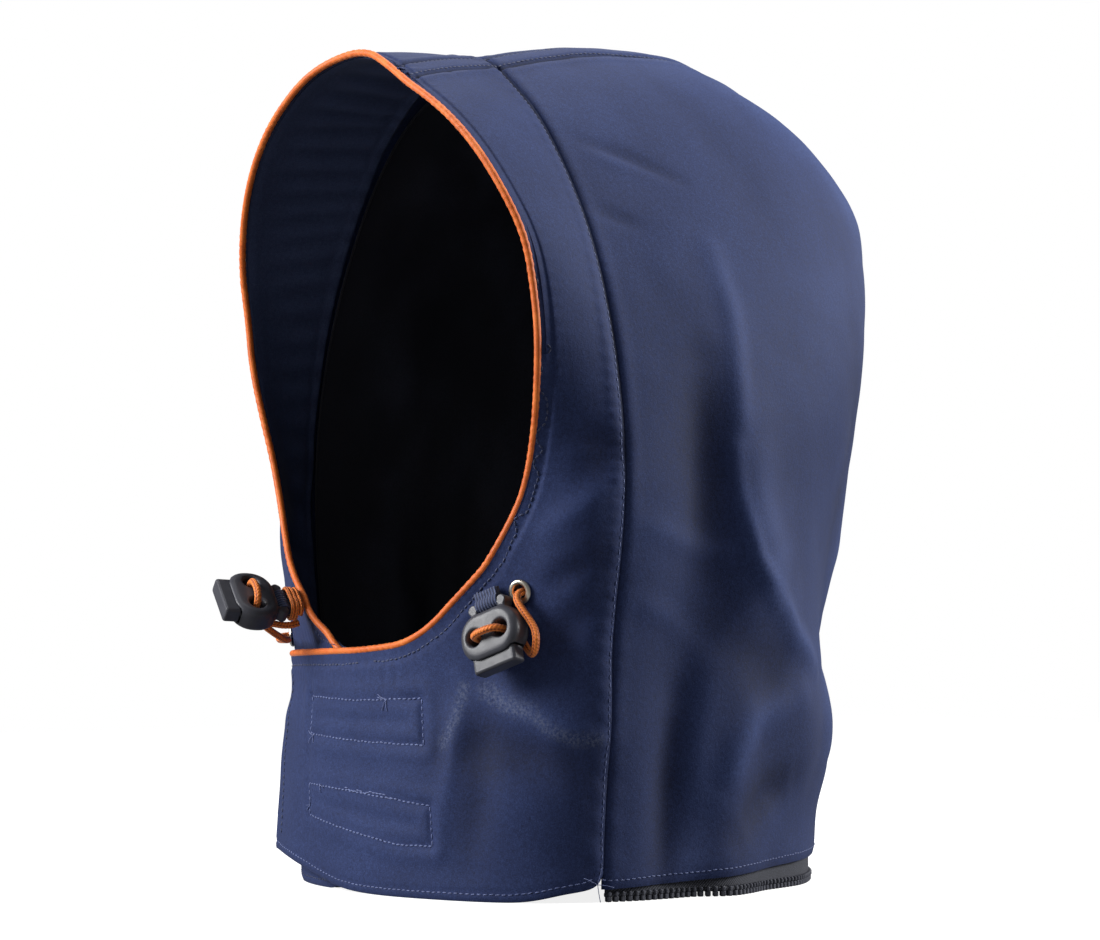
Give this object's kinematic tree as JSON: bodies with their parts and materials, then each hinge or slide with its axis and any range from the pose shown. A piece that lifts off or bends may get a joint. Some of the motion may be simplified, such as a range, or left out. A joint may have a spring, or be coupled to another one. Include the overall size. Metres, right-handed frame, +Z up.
{
  "type": "detachable hood",
  "caption": "Softshell hood that zips to a jacket, with a lapped chin flap, piped face opening and draw cords with spring cord locks.",
  "frame": {"origin": "under the middle of the hood, on the surface that it stands on", "axes": "+Z up, the face opening looks along -Y, the wearer's left side is +X"},
  "size_m": [0.238, 0.3052, 0.355],
  "materials": {
    "navy_cloth": "matte",
    "navy_facing": "matte",
    "silver_metal": "polished",
    "black_lining": "matte",
    "orange_cord": "matte",
    "grey_plastic": "matte",
    "navy_webbing": "matte",
    "zip_tape_cloth": "matte",
    "zip_teeth_plastic": "matte"
  },
  "bodies": {
    "hood": {"side_panel_left": "navy_cloth", "side_panel_right": "navy_cloth", "centre_strip": "navy_cloth", "band_bridge": "navy_cloth", "facing_bridge": "navy_facing", "front_band_left": "navy_cloth", "facing_left": "navy_facing", "eyelet_left": "silver_metal", "front_band_right": "navy_cloth", "facing_right": "navy_facing", "eyelet_right": "silver_metal", "lining": "black_lining", "face_piping": "orange_cord", "lock_body_left": "grey_plastic", "lock_tab_left": "navy_webbing", "lock_body_right": "grey_plastic", "lock_tab_right": "navy_webbing", "draw_cord_left": "orange_cord", "draw_cord_right": "orange_cord", "tab_wrap_right": "orange_cord", "hem_loop_right": "navy_webbing", "zip_tape": "zip_tape_cloth", "zip_teeth": "zip_teeth_plastic"},
    "left_button": {"lock_button_left": "grey_plastic"},
    "right_button": {"lock_button_right": "grey_plastic"}
  },
  "joints": [
    {"name": "left_button_press", "type": "slide", "parent": "hood", "child": "left_button", "axis": [-0.3762, 0.1035, 0.9207], "range_m": [0, 0.003], "stiffness_N_per_m": 900, "springref_m": -0.002},
    {"name": "right_button_press", "type": "slide", "parent": "hood", "child": "right_button", "axis": [0.2231, 0.9735, -0.0507], "range_m": [0, 0.003], "stiffness_N_per_m": 900, "springref_m": -0.002}
  ]
}
